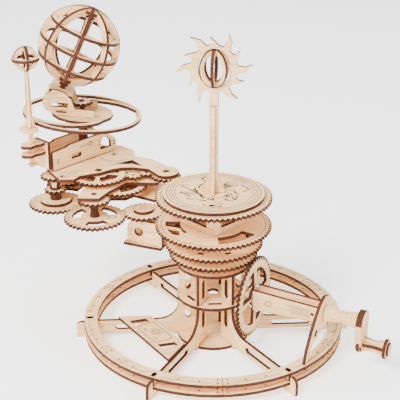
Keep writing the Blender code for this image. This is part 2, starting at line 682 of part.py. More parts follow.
def chassis():
    bore_top = circle(MOON_TUBE[1] + RUN, 20, *EARTH)
    lobe = arc(*DIAL_PINION, 12.5, -120, 85, 9)
    top = [(-163, 64), (-156, 47.6), (-144, 27), (-130.8, 28), (-126.5, 36), (-117, 41), (-108, 44.5)]
    top += [(-97, 53.5), (-88, 57.5), (-77, 58), (-62, 54)] + lobe
    top += [(-60, 80), (-76, 86), (-79, 103), (-93, 117), (-112, 117), (-140, 115), (-160, 96)]
    window = [(-104, 61.5), (-92, 67), (-79, 66), (-68, 62), (-79, 77)]
    holes = [bore_top, window]
    holes += pin_holes((DIAL_PINION, MOON_IDLER), PIN_R)
    plate("chassis_top_plate", flat(0, 0, TOP_PLATE_Z), top, holes)
    middle = [(-126, 6), (-106, 5), (-98, 22), (-82, 44), (-52, 42), (-52, 60), (-56, 82), (-84, 108)]
    middle += [(-112, 108), (-136, 96), (-134, 70), (-120, 40), (-124, 20)]
    holes = [circle(MOON_TUBE[1] + RUN, 20, *EARTH)] + pin_holes((SECOND_WHEEL, SUPPORT_IDLER,
                                                                  MOON_IDLER), PIN_R)
    holes += pin_holes((POST,), POST_R)
    plate("chassis_middle_plate", flat(0, 0, MIDDLE_PLATE_Z), middle, holes)
    lower = [(-44, 40), (-56, 34), (-76, 46), (-84, 38), (-98, 38), (-106, 50), (-112, 72), (-126, 74)]
    lower += [(-132, 60), (-146, 64), (-164, 74), (-158, 88), (-142, 86), (-138, 102), (-104, 116), (-58, 84)]
    lower += [(-40, 62)]
    holes = [circle(DAY_SHAFT_R + RUN, 16, *EARTH)] + pin_holes((SUPPORT_IDLER, DAY_IDLER), PIN_R)
    plate("chassis_lower_plate", flat(0, 0, LOWER_PLATE_Z), lower, holes)
    low = LOWER_PLATE_Z + PLY + GAP
    post = turned([(0, low), (POST_R, low), (POST_R, TOP_PLATE_Z - GAP), (0, TOP_PLATE_Z - GAP)], 8)
    piece("chassis_post", post, flat(*POST, 0))


def shafted(name, centre, gears, shaft_r, low, high, extra=()):
    """Gears on one shaft. The shaft runs past every gear, so the parts join as one piece."""
    meshes = [turned([(0, low), (shaft_r, low), (shaft_r, high), (0, high)], 12)]
    meshes += [sheet(outline, holes, z, z + PLY) for outline, holes, z in gears]
    meshes += list(extra)
    joined(name, meshes, flat(*centre, 0))


def arm_gears():
    top = TOP_PLATE_Z + PLY
    shafted("dial_pinion", DIAL_PINION, [(gear(DIAL_PINION_TEETH, PINION_PHASE), (), UPPER_Z)],
            PIN_R, UPPER_Z - 2, top)
    for name, place, phase in (("idler_first", FIRST_IDLER, FIRST_IDLER_PHASE),
                               ("idler_second", SECOND_IDLER, SECOND_IDLER_PHASE)):
        plate(name, flat(*place, UPPER_Z), gear(SMALL_IDLER_TEETH, phase), [circle(1.6, 8)])
    windows = [sector(9, 20, a, a + 70, 4) for a in (10, 100, 190, 280)]
    shafted("moon_train_wheel", MOON_IDLER, [(gear(LARGE_WHEEL_TEETH, MOON_IDLER_PHASE), windows, UPPER_Z)],
            PIN_R, MIDDLE_PLATE_Z, top)
    low = LOWER_FIXED_Z + 1
    cap = turned([(0, low), (FIRST_CAP_R, low), (FIRST_CAP_R, low + 5), (0, low + 5)], 20)
    shafted("first_wheel", FIRST_WHEEL, [(gear(FIRST_WHEEL_TEETH, FIRST_WHEEL_PHASE), (), LOWER_FIXED_Z)],
            PIN_R, CARRIAGE_Z, LOWER_FIXED_Z + PLY + 1, [cap])
    holes = [sector(13, 21.5, a, a + 62, 4) for a in (130, 250, 10)]
    shafted("second_wheel", SECOND_WHEEL, [
        (gear(SECOND_WHEEL_TEETH, SECOND_WHEEL_PHASE), holes, LOWER_FIXED_Z),
        (gear(SECOND_PINION_TEETH), (), SUPPORT_LEVEL)],
        PIN_R, LOWER_FIXED_Z - 2, MIDDLE_PLATE_Z + PLY,
        [turned([(0, 115), (5.2, 115), (3.6, 121), (3.6, 132), (0, 132)], 8)])
    shafted("support_train_wheel", SUPPORT_IDLER, [
        (gear(LARGE_WHEEL_TEETH, SUPPORT_IDLER_PHASE), windows, SUPPORT_LEVEL)],
        PIN_R, LOWER_PLATE_Z, MIDDLE_PLATE_Z + PLY)
    disc = turned([(0, 115), (15.0, 115), (15.0, 119.4), (0, 119.4)], 24)
    drum = turned([(0, 118), (5.5, 118), (5.5, 133), (9.0, 139.5), (0, 139.5)], 10)
    shafted("outer_wheel", OUTER_WHEEL, [
        (gear(OUTER_WHEEL_TEETH, OUTER_WHEEL_PHASE), (), LOWER_FIXED_Z),
        (gear(OUTER_PINION_TEETH), (), DAY_LEVEL),
        (gear(OUTER_TOP_TEETH), (), UPPER_Z)],
        PIN_R, LOWER_FIXED_Z - 1, TOP_PLATE_Z - GAP, [disc, drum])
    shafted("day_idler", DAY_IDLER, [(gear(DAY_IDLER_TEETH, DAY_IDLER_PHASE), (), DAY_LEVEL)],
            PIN_R, LOWER_PLATE_Z, DAY_LEVEL + PLY + 0.6)


# ---------------------------------------------------------------- Earth

def guide_frame(lift=0.0):
    """The slightly slanted plane of the Moon's guide ring, at the Earth's axis."""
    a = math.radians(RING_TILT_AZ)
    raised = Vector((math.sin(a), -math.cos(a), 0.0))
    slant = Matrix.Rotation(math.radians(RING_TILT), 4, raised)
    return flat(*EARTH, DISC_Z) @ slant @ Matrix.Translation((0, 0, lift * MM))


def globe_frame():
    return flat(*EARTH, DISC_Z + PLY + GLOBE_UP) @ Matrix.Rotation(math.radians(EARTH_TILT), 4, "Y")


def spiral(start, span, steps=7):
    """One edge of a spoke: it leaves the disc and winds out to the ring."""
    outer = GUIDE_R - GUIDE_WIDTH
    return [polar(DISC_R + (outer - DISC_R) * i / steps, start + span * i / steps) for i in range(steps + 1)]


def guide_ring():
    outer = GUIDE_R - GUIDE_WIDTH
    span = -95.0
    width = -24.0
    holes = [circle(DAY_SHAFT_R + 0.9, 12)]
    for start in (318.0, 138.0):
        hole = spiral(start + width, span)
        hole += arc(0, 0, outer, start + width + span, start - 180 + span, 8)[1:-1]
        hole += list(reversed(spiral(start - 180, span)))
        hole += arc(0, 0, DISC_R, start - 180, start + width, 7)[1:-1]
        holes.append(hole)
    piece("moon_guide_ring", sheet(circle(GUIDE_R, 48), holes), guide_frame())


def earth_support():
    inner, outer = SUPPORT_TUBE
    wheel = sheet(gear(SUPPORT_TEETH, SUPPORT_PHASE), [circle((inner + outer) / 2, 16)], SUPPORT_LEVEL,
                  SUPPORT_LEVEL + PLY)
    stem = tube(inner, outer, SUPPORT_LEVEL - 0.6, DISC_Z - 0.9)
    joined("earth_support_tube", [stem, wheel], flat(*EARTH, 0))
    side = [(-24, GAP), (13, GAP), (13, 7.5), (-6, 7.5), (-10, 17), (-17, 23), (-27, 25.5), (-35, 20),
            (-37.5, 12)]
    side += [(-34, 5)]
    windows = [box(-29, 8.5, -13, 12.5), box(-24, 3, -14, 5.5)]
    stand = Matrix.Rotation(math.pi / 2, 4, "X")
    meshes = []
    for shift in (-HOUSING_HALF + PLY / 2, HOUSING_HALF + PLY / 2):
        mesh = sheet(side, windows)
        bmesh.ops.transform(mesh, matrix=Matrix.Translation((0, shift * MM, 0)) @ stand, verts=mesh.verts)
        meshes.append(mesh)
    bearing = sheet(box(-11, -HOUSING_HALF, 12, HOUSING_HALF), [circle(DAY_SHAFT_R + 2 * RUN, 12)],
                    -BEARING_DOWN - PLY, -BEARING_DOWN)
    bmesh.ops.transform(bearing, matrix=guide_frame(PLY).inverted() @ globe_frame(), verts=bearing.verts)
    joined("earth_housing", meshes + [bearing], guide_frame(PLY))


def day_shaft():
    top = DISC_Z + PLY + 8.0
    shafted("day_shaft", EARTH, [(gear(DAY_TEETH, DAY_PHASE), (), DAY_LEVEL), (gear(DAY_TOP_TEETH), (), top)],
            DAY_SHAFT_R, LOWER_PLATE_Z, top + PLY + 1)


def globe():
    """Four full meridians, three parallels and their shaft, joined as one light cage."""
    r = GLOBE_R
    rings = [standing_ring(r, r - GLOBE_BAND, 16, turn) for turn in (0, 45, 90, 135)]
    for up in GLOBE_PARALLELS:
        reach = math.sqrt(r * r - up * up) - 0.4
        inner = reach - GLOBE_BAND + 1
        rings.append(sheet(circle(reach, 16, turn=4), [circle(inner, 16, turn=4)], up - PLY / 2,
                           up + PLY / 2))
    shaft = turned([(0, -60), (DAY_SHAFT_R, -60), (DAY_SHAFT_R, r - 2), (0, r - 2)], 8)
    caps = [sheet(circle(GLOBE_CAP_R, 12, turn=5), [], z, z + PLY) for z in (-r + 2.2, r - 2.2 - PLY)]
    wheel = sheet(gear(PIN_WHEEL_TEETH), [], -GLOBE_GEAR_DOWN - PLY / 2, -GLOBE_GEAR_DOWN + PLY / 2)
    joined("globe", rings + [shaft] + caps + [wheel], globe_frame())


# ---------------------------------------------------------------- Moon

MOON_HUB_Z = MOON_ARM_Z + 3.0


def moon_frame(z):
    return flat(*EARTH, z, MOON_AZ)


def moon_arm():
    inner, outer = MOON_TUBE
    wheel = sheet(gear(MOON_WHEEL_TEETH, MOON_WHEEL_PHASE - MOON_AZ), [circle((inner + outer) / 2, 20)],
                  UPPER_Z, UPPER_Z + PLY)
    stem = tube(inner, outer, UPPER_Z - 0.6, MOON_HUB_Z + 1, 20)
    half = MOON_ARM_HALF - PLY / 2 - GAP
    hub = sheet(box(-20, -half, 26, half), [circle((inner + outer) / 2, 20)], MOON_HUB_Z, MOON_HUB_Z + PLY)
    joined("moon_arm_tube", [stem, wheel, hub], moon_frame(0))
    h = MOON_ARM_HEIGHT
    side = [(BRACKET_START - 2, 0), (BRACKET_START - 2, h - 3), (32, h - 2), (28, h - 0.5), (-12, h),
            (-22, h - 2)]
    side += [(-30, h - 9), (-33, 8), (-30, 0)]
    windows = [[(-25, 5), (-12, 5), (-9, 10), (-12, 17), (-20, 16.5), (-25, 11)], box(14, 6, 26, 10)]
    for name, shift in (("moon_arm_front", -MOON_ARM_HALF), ("moon_arm_back", MOON_ARM_HALF)):
        plate(name, upright(*EARTH, MOON_ARM_Z, MOON_AZ, shift), side, windows)
    wave = [(BRACKET_START, -6), (BRACKET_START + 7, -7.5), (BRACKET_START + 13, -6),
            (BRACKET_START + 19, -7)]
    wave += [(BRACKET_START + 24, -2)]
    outline = wave + [(x, -y) for x, y in reversed(wave)]
    hole = box(MOON_REACH - ROD_HALF - RUN, -ROD_HALF - RUN, MOON_REACH + ROD_HALF + RUN, ROD_HALF + RUN)
    meshes = [sheet(box(BRACKET_START - 1, -10, BRACKET_START + 2, 10), [], MOON_ARM_Z + 2,
                    MOON_ARM_Z + h + 8)]
    meshes += [sheet(outline, [hole], z, z + PLY) for z in MOON_BRACKET_Z]
    joined("moon_bracket", meshes, moon_frame(0))


def moon():
    rod = sheet(box(-ROD_HALF, -ROD_HALF, ROD_HALF, ROD_HALF), [], MOON_FOOT_Z, MOON_CARRIER_Z + 1)
    foot = sheet(box(-4, -2.6, 4, 2.6), [], MOON_FOOT_Z + 0.8, MOON_FOOT_Z + 3.2)
    inner = GUIDE_R + 0.6 - MOON_REACH
    oval = [(inner, -4), (inner, 4)] + arc(1, 0, CARRIER_R, 120, -120, 12)
    carrier = sheet(oval, [], MOON_CARRIER_Z, MOON_CARRIER_Z + PLY)
    place = flat(*polar(MOON_REACH, MOON_AZ, EARTH), 0, MOON_AZ)
    joined("moon_rod", [rod, foot, carrier], place)
    low = MOON_CARRIER_Z + PLY + GAP
    height = MOON_BALL_Z - MOON_BALL_R - GAP - low
    right = [(4.6, 0), (4.4, 4), (2.6, 11), (1.7, height)]
    outline = right + [(-x, y) for x, y in reversed(right)]
    narrow = [(x, y * 0.995 + 0.15) for x, y in outline]
    x, y = polar(MOON_REACH, MOON_AZ, EARTH)
    frame = upright(x, y, low, 0) @ Matrix.Translation((0, 0, PLY / 2 * MM))
    joined("moon_stick", [sheet(outline, [], -PLY / 2, PLY / 2), crossing(narrow)], frame)
    r = MOON_BALL_R
    meshes = [standing_ring(r, r - BALL_BAND, 12, turn) for turn in (20, 110)]
    meshes.append(sheet(circle(r + 1.4, 12, turn=3), [circle(r - 3.4, 12, turn=3)], -PLY / 2, PLY / 2))
    joined("moon_ball", meshes, flat(x, y, MOON_BALL_Z))


# ---------------------------------------------------------------- the whole

def clear():
    for old in list(bpy.data.objects):
        bpy.data.objects.remove(old)


def main():
    clear()
    ribs()
    rings()
    column()
    nameplate()
    fixed_stack()
    sun()
    crank()
    knob()
    crank_supports()
    arm_core()
    arm_links()
    chassis()
    arm_gears()
    guide_ring()
    earth_support()
    day_shaft()
    globe()
    moon_arm()
    moon()


main()
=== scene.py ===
# %% [markdown]
# # A hand-cranked plywood orrery
# The real object is cut by laser from thin plywood. Each piece is a flat sheet with pale, finely
# grained faces and cut edges that the laser has browned. Everything that moves is already made and
# packed, so this lesson loads those solids and gives them their finish, their engraving and a few
# finer pieces. A picture of the whole could be built from scratch instead, but then the gears would
# no longer match the joints that turn them.

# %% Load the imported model
import json
import math
import random

import bmesh
import bpy
from mathutils import Matrix, Vector
from mathutils.geometry import tessellate_polygon


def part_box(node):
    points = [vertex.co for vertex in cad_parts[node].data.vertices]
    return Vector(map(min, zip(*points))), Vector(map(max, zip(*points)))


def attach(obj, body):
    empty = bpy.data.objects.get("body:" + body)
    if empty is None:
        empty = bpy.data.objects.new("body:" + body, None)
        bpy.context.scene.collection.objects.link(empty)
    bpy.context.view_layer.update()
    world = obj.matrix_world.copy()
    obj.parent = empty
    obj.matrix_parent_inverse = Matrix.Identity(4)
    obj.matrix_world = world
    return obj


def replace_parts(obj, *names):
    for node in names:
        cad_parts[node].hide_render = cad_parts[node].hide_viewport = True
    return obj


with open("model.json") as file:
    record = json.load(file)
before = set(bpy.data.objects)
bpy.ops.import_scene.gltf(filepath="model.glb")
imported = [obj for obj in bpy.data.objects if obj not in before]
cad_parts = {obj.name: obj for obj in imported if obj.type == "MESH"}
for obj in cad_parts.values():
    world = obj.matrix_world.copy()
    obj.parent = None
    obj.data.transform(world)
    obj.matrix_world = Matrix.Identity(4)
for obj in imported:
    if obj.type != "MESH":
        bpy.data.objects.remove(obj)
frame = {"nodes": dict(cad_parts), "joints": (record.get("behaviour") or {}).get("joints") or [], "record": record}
nodes = frame["nodes"]
joints = {joint["name"]: joint for joint in frame["joints"]}
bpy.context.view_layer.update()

# %% [markdown]
# ## Plywood
# A face of birch plywood is cream, with fine darker streaks along the grain and soft, wide
# clouds. The streaks come from one noise stretched along the grain, and the clouds from a second,
# wider one. Close to every cut the laser leaves a warm brown halo. The Bevel node finds edges,
# because its normal leans away from the true one near them, so the halo needs no painting.
# An image of wood would also do, but it would have to be unwrapped on every gear.

# %% Colours and small node helpers
CREAM = (0.93, 0.62, 0.31, 1.0)
TAN = (0.74, 0.42, 0.175, 1.0)
SCORCH = (0.085, 0.02, 0.007, 1.0)
CHAR = (0.016, 0.005, 0.003, 1.0)
EDGE_LIGHT = (0.17, 0.05, 0.016, 1.0)
HALO_WIDTH = 0.0011


def new_material(name, rough):
    made = bpy.data.materials.new(name)
    made.use_nodes = True
    shader = made.node_tree.nodes["Principled BSDF"]
    shader.inputs["Roughness"].default_value = rough
    shader.inputs["Specular IOR Level"].default_value = 0.25
    return made, made.node_tree, shader


def add(tree, kind, **settings):
    node = tree.nodes.new(kind)
    for key, value in settings.items():
        setattr(node, key, value)
    return node


def ramp_of(tree, factor, stops):
    """A colour ramp fed by one factor."""
    ramp = add(tree, "ShaderNodeValToRGB")
    colours = ramp.color_ramp
    colours.elements[0].position, colours.elements[0].color = stops[0]
    colours.elements[1].position, colours.elements[1].color = stops[-1]
    for place, colour in stops[1:-1]:
        colours.elements.new(place).color = colour
    tree.links.new(factor, ramp.inputs["Fac"])
    return ramp.outputs["Color"]


def stretched_noise(tree, scale, turn, detail=4.0):
    """Noise over the piece's own coordinates, stretched along the grain."""
    place = add(tree, "ShaderNodeTexCoord")
    mapping = add(tree, "ShaderNodeMapping", vector_type="TEXTURE")
    mapping.inputs["Rotation"].default_value = turn
    grain = add(tree, "ShaderNodeMapping")
    grain.inputs["Scale"].default_value = scale
    noise = add(tree, "ShaderNodeTexNoise")
    noise.inputs["Scale"].default_value = 1.0
    noise.inputs["Detail"].default_value = detail
    noise.inputs["Roughness"].default_value = 0.6
    tree.links.new(place.outputs["Object"], mapping.inputs["Vector"])
    tree.links.new(mapping.outputs["Vector"], grain.inputs["Vector"])
    tree.links.new(grain.outputs["Vector"], noise.inputs["Vector"])
    return noise.outputs["Fac"]


def mix(tree, factor, one, other, blend="MIX"):
    node = add(tree, "ShaderNodeMix", data_type="RGBA", blend_type=blend)
    if isinstance(factor, float):
        node.inputs["Factor"].default_value = factor
    else:
        tree.links.new(factor, node.inputs["Factor"])
    for socket, value in ((node.inputs["A"], one), (node.inputs["B"], other)):
        if isinstance(value, tuple):
            socket.default_value = value
        else:
            tree.links.new(value, socket)
    return node.outputs["Result"]


def maths(tree, operation, one, other=None):
    node = add(tree, "ShaderNodeMath", operation=operation)
    for socket, value in zip(node.inputs, (one, other)):
        if value is None:
            continue
        if isinstance(value, (int, float)):
            socket.default_value = value
        else:
            tree.links.new(value, socket)
    return node.outputs["Value"]


print("wood colours: cream", CREAM[:3], "and char", CHAR[:3])

# %% [markdown]
# ## The face of a sheet
# The pieces of one kit are cut from the same stock, so the grain has one direction per sheet and
# not one per piece. Here level sheets share one turn, and upright ones have their grain level.
# Each piece gets its own copy of the face material, turned that way.

# %% The plywood face
HALO_RISE = 5.0
HALO_MOST = 0.85


def plywood_face(name, turn=(0.0, 0.0, 0.0)):
    made, tree, shader = new_material(name + "_face", 0.62)
    streaks = stretched_noise(tree, (28.0, 620.0, 620.0), turn)
    clouds = stretched_noise(tree, (9.0, 38.0, 38.0), turn, 2.0)
    wood = ramp_of(tree, streaks, [(0.34, TAN), (0.5, CREAM), (0.72, (0.97, 0.72, 0.42, 1.0))])
    tint = ramp_of(tree, clouds, [(0.3, (0.86, 0.76, 0.66, 1.0)), (0.65, (1.0, 1.0, 1.0, 1.0))])
    wood = mix(tree, 1.0, wood, tint, "MULTIPLY")
    bevel = add(tree, "ShaderNodeBevel", samples=6)
    bevel.inputs["Radius"].default_value = HALO_WIDTH
    truth = add(tree, "ShaderNodeNewGeometry")
    along = add(tree, "ShaderNodeVectorMath", operation="DOT_PRODUCT")
    tree.links.new(bevel.outputs["Normal"], along.inputs[0])
    tree.links.new(truth.outputs["Normal"], along.inputs[1])
    lean = maths(tree, "SUBTRACT", 1.0, along.outputs["Value"])
    halo = maths(tree, "MULTIPLY", lean, HALO_RISE)
    halo = maths(tree, "MINIMUM", halo, HALO_MOST)
    tree.links.new(mix(tree, halo, wood, SCORCH), shader.inputs["Base Color"])
    bump = add(tree, "ShaderNodeBump")
    bump.inputs["Strength"].default_value = 0.12
    bump.inputs["Distance"].default_value = 0.0002
    tree.links.new(streaks, bump.inputs["Height"])
    tree.links.new(bump.outputs["Normal"], shader.inputs["Normal"])
    return made


# %% [markdown]
# ## The cut edge
# The laser burns the edge, so it is several browns, from almost black to a light scorch. A fine
# noise makes the short marks where the beam pulsed, and a broad one darkens whole stretches. The
# thin layers of the plywood could be drawn as bands, but at this size they run together.

# %% The burnt edge
def burnt_edge(name):
    made, tree, shader = new_material(name, 0.78)
    pulse = stretched_noise(tree, (900.0, 900.0, 240.0), (0.0, 0.0, 0.0), 3.0)
    broad = stretched_noise(tree, (40.0, 40.0, 90.0), (0.0, 0.0, 0.0), 2.0)
    brown = ramp_of(tree, pulse, [(0.30, CHAR), (0.52, SCORCH), (0.78, EDGE_LIGHT)])
    shade = ramp_of(tree, broad, [(0.3, (0.55, 0.5, 0.48, 1.0)), (0.7, (1.0, 1.0, 1.0, 1.0))])
    tree.links.new(mix(tree, 1.0, brown, shade, "MULTIPLY"), shader.inputs["Base Color"])
    bump = add(tree, "ShaderNodeBump")
    bump.inputs["Strength"].default_value = 0.25
    bump.inputs["Distance"].default_value = 0.0002
    tree.links.new(pulse, bump.inputs["Height"])
    tree.links.new(bump.outputs["Normal"], shader.inputs["Normal"])
    return made


EDGE = burnt_edge("laser_cut_edge")


def engraved_line():
    made, tree, shader = new_material("laser_engraving", 0.85)
    speckle = stretched_noise(tree, (700.0, 700.0, 700.0), (0.0, 0.0, 0.0), 2.0)
    brown = ramp_of(tree, speckle, [(0.3, (0.022, 0.006, 0.003, 1.0)), (0.7, (0.07, 0.024, 0.01, 1.0))])
    tree.links.new(brown, shader.inputs["Base Color"])
    return made


ENGRAVED = engraved_line()
print("materials so far:", [m.name for m in bpy.data.materials if m.users or m.name.startswith("laser")])

# %% [markdown]
# ## Telling faces from edges
# Every sheet is three millimetres thick, so a flat patch of a mesh that is no wider than that is a
# cut edge, and any wider patch is a face. Triangles that lie in one plane and touch are gathered
# into patches first. Painting by hand would take hours on gears with hundreds of teeth.

# %% Gather flat patches and paint them
SHEET_THICKNESS = 0.003
EDGE_LIMIT = SHEET_THICKNESS * 1.12


def place_key(point):
    """A corner's place to a micrometre, so that split corners still count as one."""
    return tuple(round(v * 1e6) for v in point)


def patches(data):
    """Lists of faces that touch and share one plane."""
    keys = [place_key(vertex.co) for vertex in data.vertices]
    beside = {}
    for face in data.polygons:
        corners = [keys[i] for i in face.vertices]
        for pair in zip(corners, corners[1:] + corners[:1]):
            beside.setdefault(frozenset(pair), []).append(face.index)
    touching = {face.index: set() for face in data.polygons}
    for group in beside.values():
        for index in group:
            touching[index].update(group)
    normals = [face.normal.copy() for face in data.polygons]
    left = set(touching)
    found = []
    while left:
        first = left.pop()
        patch, queue = [first], [first]
        while queue:
            for other in touching[queue.pop()] & left:
                if normals[other].dot(normals[first]) > 0.9995:
                    left.discard(other)
                    patch.append(other)
                    queue.append(other)
        found.append(patch)
    return found


def narrow(data, patch):
    """True if a patch is a strip about as wide as the sheet is thick."""
    area = sum(data.polygons[i].area for i in patch)
    points = [data.vertices[v].co for i in patch for v in data.polygons[i].vertices]
    low = Vector([min(p[k] for p in points) for k in range(3)])
    high = Vector([max(p[k] for p in points) for k in range(3)])
    return area / max((high - low).length, 1e-9) < EDGE_LIMIT


LEVEL_GRAIN = 0.35


def grain_turn(thing):
    """The turn that lays a level sheet's grain at LEVEL_GRAIN and an upright sheet's level."""
    normal, widest = Vector((0, 0, 1)), 0.0
    for face in thing.data.polygons:
        if face.area > widest:
            widest, normal = face.area, face.normal.copy()
    if abs(normal.z) > 0.7:
        return (0.0, 0.0, LEVEL_GRAIN)
    return (0.0, 0.0, math.atan2(normal.y, normal.x) + math.pi / 2)


def finish_sheet(thing, turn=None, edges=True):
    """Gives a piece a face material and a burnt edge, patch by patch. A thin stick keeps pale edges."""
    data = thing.data
    data.materials.clear()
    data.materials.append(plywood_face(thing.name, turn or grain_turn(thing)))
    data.materials.append(EDGE)
    mark = [0] * len(data.polygons)
    for patch in patches(data):
        if edges and narrow(data, patch):
            for index in patch:
                mark[index] = 1
    data.polygons.foreach_set("material_index", mark)
    data.polygons.foreach_set("use_smooth", [False] * len(mark))
    return sum(mark), len(mark)


PALE_STICKS = ("sun_pole", "moon_stick", "crank_shaft", "crank_knob", "moon_rod", "centre_shaft")
burnt = {name: finish_sheet(thing, edges=name not in PALE_STICKS) for name, thing in nodes.items()}
print("burnt faces and all faces of the dial gear:", burnt["dial_gear"])

# %% [markdown]
# ## A sheet of any outline
# Finer pieces are made as the real ones are: a flat outline with its holes, given the sheet's
# thickness. The caps are triangles laid over the outline, and each side is a strip. A Boolean on
# a block would make the same piece, but it leaves slivers on a ring of many sides.

# %% Outlines and sheets
MM = 0.001
PLY = 3.0
BODY_NODES = frame["record"]["behaviour"]["bodies"]
BODY_OF = {node: body for body, group in BODY_NODES.items() for node in group}


def circle(radius, sides, turn=0.0, x=0.0, y=0.0):
    step = 2 * math.pi / sides
    start = math.radians(turn)
    angles = [start + i * step for i in range(sides)]
    return [(x + radius * math.cos(a), y + radius * math.sin(a)) for a in angles]


def sheet(mesh, outline, holes=(), low=0.0, high=PLY, place=Matrix.Identity(4)):
    """Adds one flat sheet between two heights, in millimetres, to a mesh."""
    loops = [outline] + list(holes)
    corners = [point for loop in loops for point in loop]
    rows = []
    for z in (low, high):
        rows.append([mesh.verts.new(place @ Vector((x * MM, y * MM, z * MM))) for x, y in corners])
    for a, b, c in tessellate_polygon([[Vector((x, y, 0.0)) for x, y in loop] for loop in loops]):
        (ax, ay), (bx, by), (cx, cy) = corners[a], corners[b], corners[c]
        if (bx - ax) * (cy - ay) < (by - ay) * (cx - ax):
            b, c = c, b
        mesh.faces.new((rows[1][a], rows[1][b], rows[1][c]))
        mesh.faces.new((rows[0][a], rows[0][c], rows[0][b]))
    start = 0
    for number, loop in enumerate(loops):
        area = sum(p[0] * q[1] - q[0] * p[1] for p, q in zip(loop, loop[1:] + loop[:1]))
        for i in range(len(loop)):
            one, other = start + i, start + (i + 1) % len(loop)
            if (area > 0) != (number == 0):
                one, other = other, one
            mesh.faces.new((rows[0][one], rows[0][other], rows[1][other], rows[1][one]))
        start += len(loop)


def finished(name, mesh, node, material=None):
    """Makes a mesh an object that rides on a node's body, with a given material or else a plywood finish of its
    own.
    """
    data = bpy.data.meshes.new(name)
    mesh.to_mesh(data)
    mesh.free()
    made = bpy.data.objects.new(name, data)
    bpy.context.scene.collection.objects.link(made)
    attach(made, BODY_OF[node])
    if material is None:
        finish_sheet(made)
    else:
        data.materials.append(material)
    return made


def middle(node):
    low, high = (Vector(corner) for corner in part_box(node))
    return (low + high) / 2


def joint_spot(joint):
    """Where a joint's axis stands, in millimetres."""
    return joints[joint]["pos_m"][0] / MM, joints[joint]["pos_m"][1] / MM


print("the Sun's ball is centred on", [round(v, 4) for v in middle("sun_ball")])

# %% [markdown]
# ## The openwork globe
# The Earth is four flat discs, cut through to rings and slotted into each other along the poles,
# with three flat rings round them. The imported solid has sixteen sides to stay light, so here it
# is made again with round edges and stands in its place. Its shaft leans as the Earth's does.

# %% Rings that stand on edge
def standing_ring(mesh, outer, inner, azimuth, place, tall=1.0, sides=64):
    loops = [[(x, y * tall) for x, y in circle(r, sides, 180 / sides)] for r in (outer, inner)]
    stand = Matrix.Rotation(math.radians(azimuth), 4, "Z") @ Matrix.Rotation(math.pi / 2, 4, "X")
    sheet(mesh, loops[0], [loops[1]], -PLY / 2, PLY / 2, place @ stand)


# %% The globe
GLOBE_R = 38.85
GLOBE_BAND = 6.5
PARALLELS = (-18.0, 0.0, 18.0)
SHAFT_R = 2.35
globe_joint = joints["globe_spin"]
globe_place = Matrix.Translation(globe_joint["pos_m"]) @ Vector((0, 0, 1)).rotation_difference(
    Vector(globe_joint["axis"])).to_matrix().to_4x4()
cage = bmesh.new()
for turn in (0, 45, 90, 135):
    standing_ring(cage, GLOBE_R, GLOBE_R - GLOBE_BAND, turn, globe_place)
for up in PARALLELS:
    reach = math.sqrt(GLOBE_R ** 2 - up ** 2) - 0.3
    hole = circle(reach - GLOBE_BAND + 1, 64)
    sheet(cage, circle(reach, 64), [hole], up - PLY / 2, up + PLY / 2, globe_place)
for z in (-GLOBE_R + 2.2, GLOBE_R - 2.2 - PLY):
    sheet(cage, circle(9.4, 32), (), z, z + PLY, globe_place)
globe_cage = finished("globe_cage", cage, "globe")
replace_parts(globe_cage, "globe")
lean = math.degrees(math.acos(globe_joint["axis"][2]))
print("globe of", len(globe_cage.data.polygons), "faces, leaning", round(lean, 1), "degrees")

# %% Its shaft and wheel
PIN_WHEEL_TEETH = 14
MODULE = 1.55


def toothed(teeth, share=0.06):
    """The outline of a wheel with straight-sided teeth."""
    root, tip = MODULE * teeth / 2 - 1.25, MODULE * teeth / 2 + 0.85
    pitch = 2 * math.pi / teeth
    points = []
    for i in range(teeth):
        for r, part in ((root, -0.5), (tip, -share), (tip, share)):
            points.append((r * math.cos((i + part) * pitch), r * math.sin((i + part) * pitch)))
    return points


STICK_END = 4.5
STICK_WAIST = 2.6


def on_edge(place, turn):
    """The plane of a sheet that stands on edge, turned round its axis."""
    return place @ Matrix.Rotation(math.radians(turn), 4, "Z") @ Matrix.Rotation(math.pi / 2, 4, "X")


shaft = bmesh.new()
sheet(shaft, circle(SHAFT_R, 24), (), -59.9, -GLOBE_R + 2, globe_place)
for turn in (20, 110):
    right = [(STICK_END, -GLOBE_R + 2), (STICK_WAIST, 0), (STICK_END, GLOBE_R - 4)]
    stick = [(-STICK_END, -GLOBE_R + 2)] + right + [(-STICK_END, GLOBE_R - 4), (-STICK_WAIST, 0)]
    sheet(shaft, stick, (), -PLY / 2, PLY / 2, on_edge(globe_place, turn))
sheet(shaft, toothed(PIN_WHEEL_TEETH), (), -58.5, -55.5, globe_place)
for z in (-GLOBE_R - 3.4, GLOBE_R - 6.5 - PLY):
    sheet(shaft, circle(4.4, 24), (), z, z + PLY, globe_place)
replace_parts(finished("globe_shaft", shaft, "globe"), "globe")

# %% [markdown]
# ## Sun and Moon balls
# Both are little cages of the same kind: upright rings crossing on one axis and a level one round
# the middle. A smooth sphere would be simpler, but the real ones are seen through.

# %% Sun and Moon balls
SUN_BALL_R = 13.95
MOON_BALL_R = 11.45


def small_cage(name, node, radius, band, turns, tall, equator):
    place = Matrix.Translation(middle(node))
    cage = bmesh.new()
    for turn in turns:
        standing_ring(cage, radius, radius - band, turn, place, tall, 40)
    if equator:
        wide = radius + equator
        sheet(cage, circle(wide, 48), [circle(wide - band - 1, 48)], -PLY / 2, PLY / 2, place)
    made = finished(name, cage, node)
    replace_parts(made, node)
    print(name, "has", len(made.data.polygons), "faces")


small_cage("sun_cage", "sun_ball", SUN_BALL_R, 3.6, (20, 80, 140), 1.22, 0.0)
small_cage("moon_cage", "moon_ball", MOON_BALL_R, 3.6, (20, 110), 1.0, 1.35)

